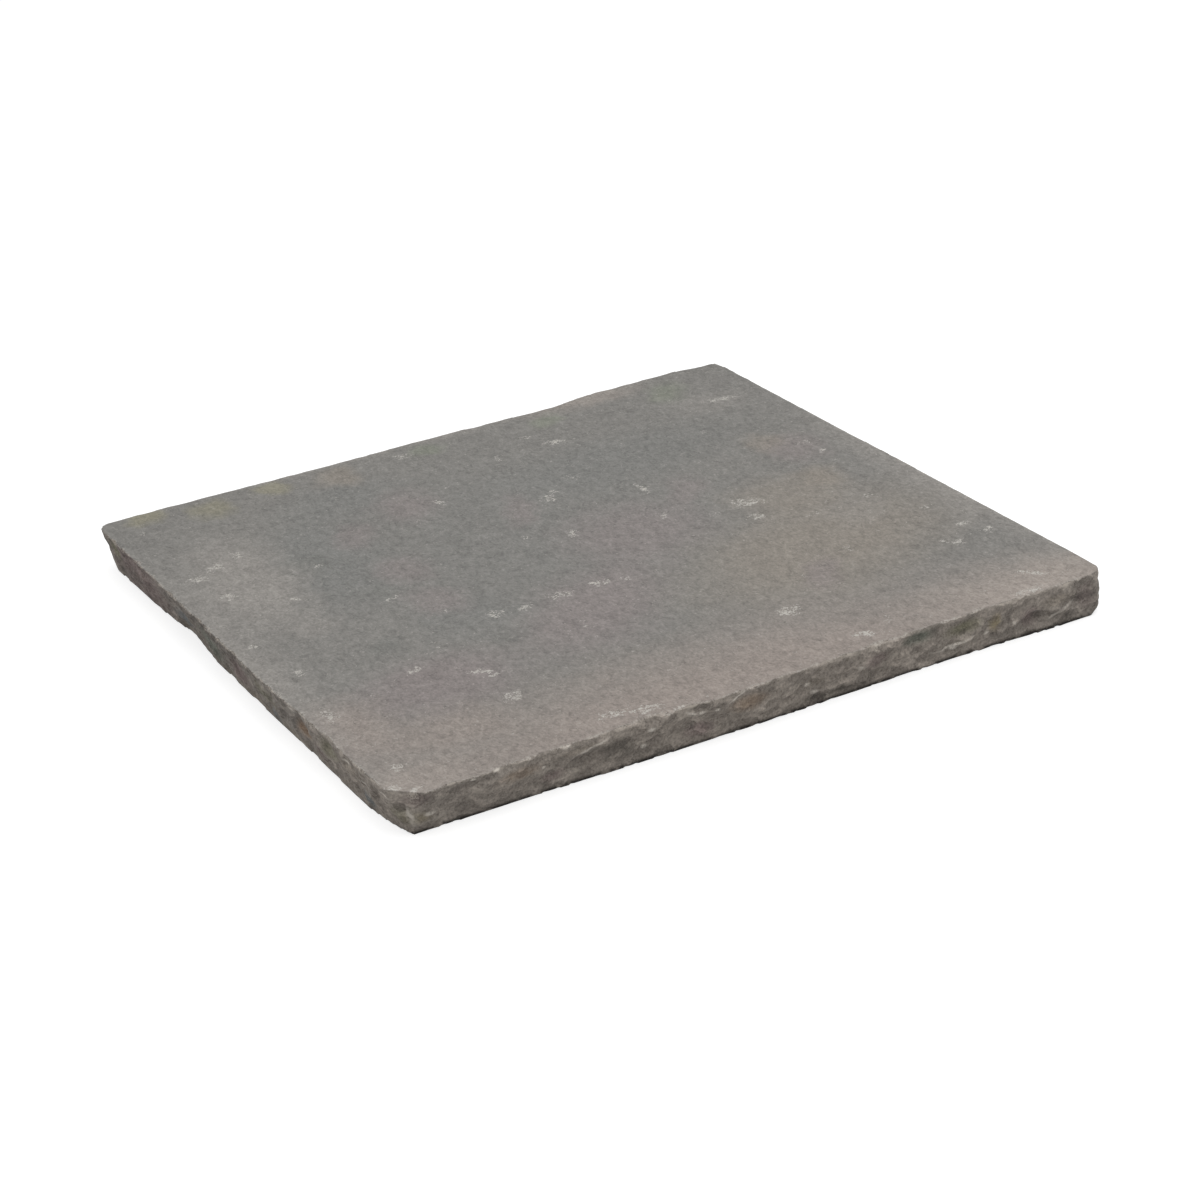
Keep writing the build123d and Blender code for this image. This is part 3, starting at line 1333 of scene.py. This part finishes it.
        # The foot's dark band: partly grime, partly painted contact shadow
        foot = np.clip(self.foot_shade_top - (points[:, 2] - LOW.z) / self.foot_shade_fade, 0, 1)
        foot *= np.clip(edge * self.foot_gain, 0, 1) * np.array(self.foot_shade_shares)[side]
        self._store("edge", edge)
        # The relief, which the finish reads as painted shade in the hollows and painted light on the
        # raised parts
        self._store("relief", np.clip(MEAN - relief / self.deep, 0, 1))
        self._store("bruise", np.maximum(fresh, lip))
        self._store("foot", foot)

    def _store(self, name: str, values: np.ndarray) -> None:
        """Store one value for each vertex, for the finish to read."""
        attribute = self.piece.data.attributes.new(name, "FLOAT", "POINT")
        attribute.data.foreach_set("value", values.astype(np.float32))


@dataclass(frozen=True)
class Studio:
    """A plain pale floor, soft light from above and the photograph's point of view."""

    floor_size: float = 24.0
    floor_colour: tuple[float, float, float] = (0.45, 0.45, 0.45)
    floor_glow: float = 0.76
    floor_bounce: tuple[float, float, float] = (0.42, 0.42, 0.42)
    sky: float = 0.55
    lamp_power: float = 24.5
    lamp_size: float = 2.4
    lamp_place: tuple[float, float, float] = (0.15, -0.25, 2.2)
    camera_place: tuple[float, float, float] = (-1028.9 * MM, -2149.5 * MM, 1070.1 * MM)
    pitch: float = 24.375
    yaw: float = -25.921
    roll: float = -5.318
    lens: float = 95.75
    sensor: float = 36.0

    def build(self) -> None:
        """Set up the floor, the sky, the lamp and the camera."""
        self._floor()
        self._sky()
        self._lamp()
        self._camera()

    def _seen(self, recipe: Recipe) -> Wire:
        """Return 1 for rays that look at the surroundings, 0 for those that light the stone."""
        camera, glossy, clear = (recipe.add("ShaderNodeLightPath", output=name) for name in SEEN_RAYS)
        return camera.most(glossy).most(clear)

    def _floor(self) -> None:
        """Lay the floor, which shows white but throws little light back on the edges."""
        bpy.ops.object.select_all(action="DESELECT")
        bpy.ops.mesh.primitive_plane_add(size=self.floor_size, location=(0, 0, 0))
        floor = bpy.context.object
        floor.name = "floor"
        made = bpy.data.materials.new("floor")
        made.use_nodes = True
        recipe = Recipe(made.node_tree)
        lit = recipe.add("ShaderNodeBsdfDiffuse", inputs={"Color": (*self.floor_colour, 1.0)})
        glow = recipe.add("ShaderNodeEmission", inputs={"Strength": self.floor_glow})
        shown = recipe.add("ShaderNodeAddShader", inputs={0: lit, 1: glow})
        bounce = recipe.add("ShaderNodeBsdfDiffuse", inputs={"Color": (*self.floor_bounce, 1.0)})
        either = recipe.add("ShaderNodeMixShader", inputs={0: self._seen(recipe), 1: bounce, 2: shown})
        recipe.add("ShaderNodeOutputMaterial", inputs={"Surface": either})
        floor.data.materials.append(made)

    def _sky(self) -> None:
        """Make the sky white to look at and dimmer as a light."""
        world = bpy.data.worlds.new("sky")
        world.use_nodes = True
        recipe = Recipe(world.node_tree)
        strength = self.sky + (1 - self.sky) * self._seen(recipe)
        sky = recipe.add("ShaderNodeBackground", inputs={"Color": (1, 1, 1, 1), "Strength": strength})
        recipe.add("ShaderNodeOutputWorld", inputs={"Surface": sky})
        bpy.context.scene.world = world

    def _lamp(self) -> None:
        """Hang one large soft lamp over the paver."""
        light = bpy.data.lights.new("softbox", "AREA")
        light.shape = "DISK"
        light.size = self.lamp_size
        light.energy = self.lamp_power
        lamp = bpy.data.objects.new("softbox", light)
        lamp.location = self.lamp_place
        lamp.rotation_euler = (-Vector(self.lamp_place)).to_track_quat("-Z", "Y").to_euler()
        bpy.context.scene.collection.objects.link(lamp)

    def _camera(self) -> None:
        """Stand the camera where the photograph was taken from."""
        lens = bpy.data.cameras.new("camera")
        lens.lens = self.lens
        lens.sensor_width = self.sensor
        camera = bpy.data.objects.new("camera", lens)
        turn = Matrix.Rotation(math.radians(self.yaw), 4, "Z")
        tilt = Matrix.Rotation(math.radians(90 - self.pitch), 4, "X")
        roll = Matrix.Rotation(math.radians(self.roll), 4, "Z")
        camera.matrix_world = Matrix.Translation(self.camera_place) @ turn @ tilt @ roll
        bpy.context.scene.collection.objects.link(camera)
        bpy.context.scene.camera = camera


def main() -> None:
    """Build the studio and the paver, and report what was made."""
    logging.basicConfig(level=logging.INFO, format="%(name)s: %(message)s")
    scene = bpy.context.scene
    scene.view_settings.view_transform = "Standard"
    Studio().build()
    LOG.info("studio is set up")
    slab = Slab().build()
    slab.data.materials.clear()
    slab.data.materials.append(BluestoneFinish().material())
    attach(slab, "root")
    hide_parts(NODE)
    LOG.info("%s: %d faces", slab.name, len(slab.data.polygons))


if __name__ == "__main__":
    main()
